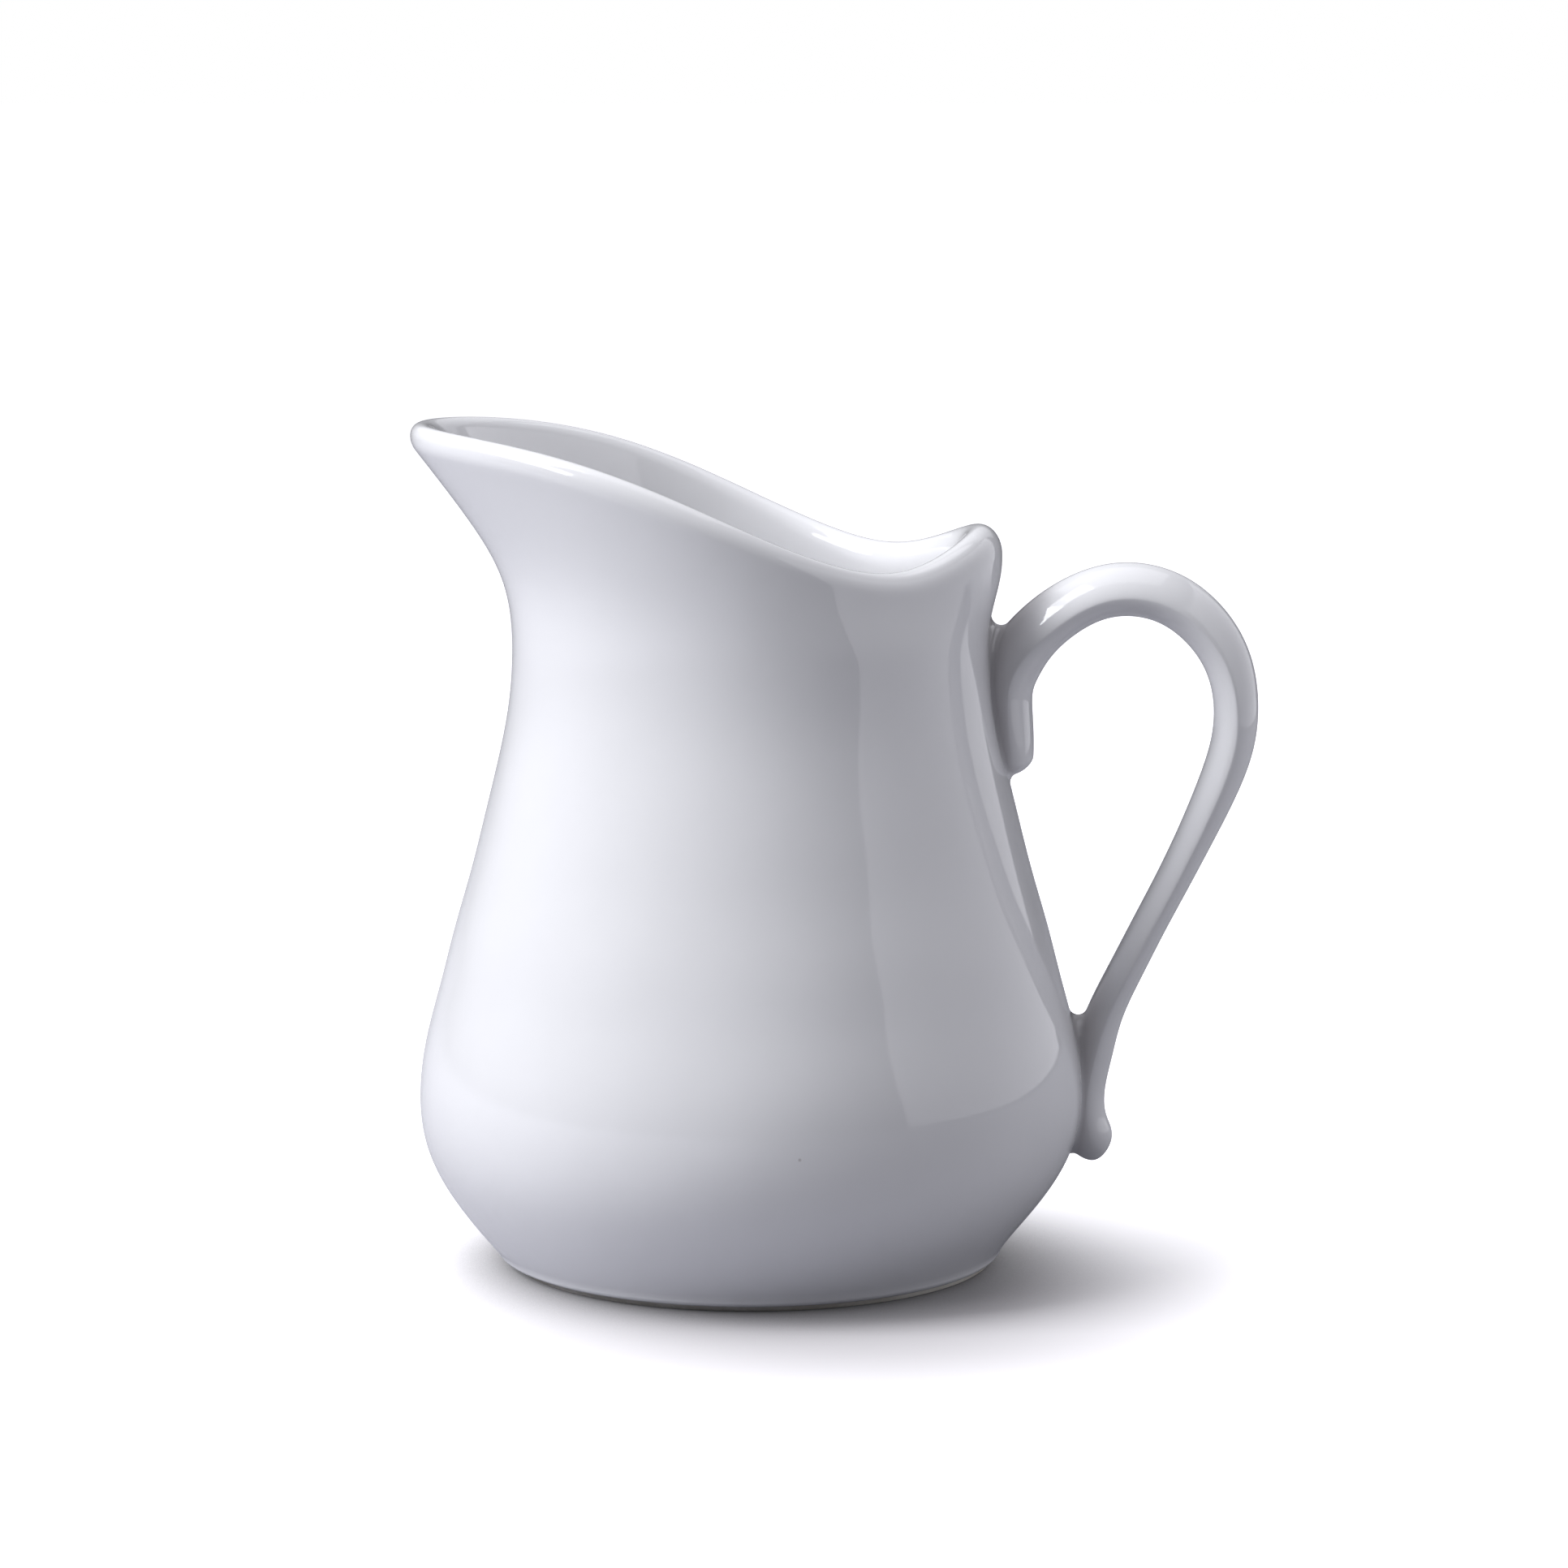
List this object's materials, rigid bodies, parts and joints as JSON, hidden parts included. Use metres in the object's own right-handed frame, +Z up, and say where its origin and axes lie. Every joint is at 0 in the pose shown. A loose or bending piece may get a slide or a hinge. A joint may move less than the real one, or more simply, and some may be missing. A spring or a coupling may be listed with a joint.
{
  "type": "ceramic pitcher",
  "caption": "White glazed ceramic pitcher with a round belly, a pulled pouring spout and a loop handle luted to the neck and belly, for holding and pouring liquids.",
  "frame": {"origin": "centre of the foot, on the surface the pitcher stands on", "axes": "+X towards the handle, -X towards the spout, +Z up; the XZ plane is the mirror plane"},
  "size_m": [0.1344, 0.1062, 0.1344],
  "materials": {
    "white_glaze": "gloss",
    "handle_glaze": "gloss",
    "slip_glaze": "gloss",
    "bare_foot": "matte"
  },
  "bodies": {
    "root": {"body": "white_glaze", "foot_ring": "bare_foot", "handle": "handle_glaze", "upper_slip_joint": "slip_glaze", "lower_slip_joint": "slip_glaze"}
  },
  "joints": []
}
